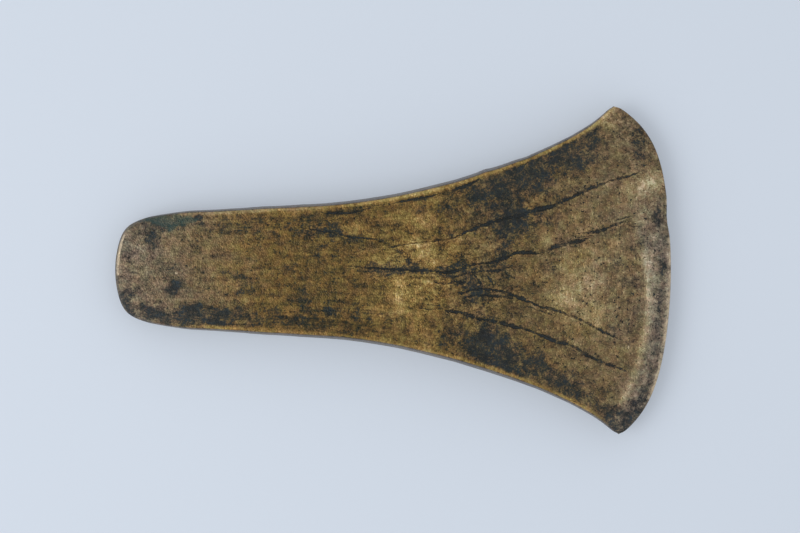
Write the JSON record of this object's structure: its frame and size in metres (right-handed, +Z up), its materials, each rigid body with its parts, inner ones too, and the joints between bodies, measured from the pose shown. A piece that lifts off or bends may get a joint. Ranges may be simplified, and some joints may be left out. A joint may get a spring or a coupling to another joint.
{
  "type": "bronze axe head",
  "caption": "Flat axe head with low hammered flanges and a fan-shaped cutting edge, lying on one broad face.",
  "frame": {"origin": "on the surface that the axe head lies on, under the middle of its bounding box", "axes": "+X from the butt to the cutting edge, +Y across the blade, +Z up out of the upper broad face"},
  "size_m": [0.14, 0.0826, 0.01],
  "materials": {
    "bronze": "worn golden-brown bronze with dark green-black patina"
  },
  "bodies": {
    "root": {"axe_head": "bronze"}
  },
  "joints": []
}
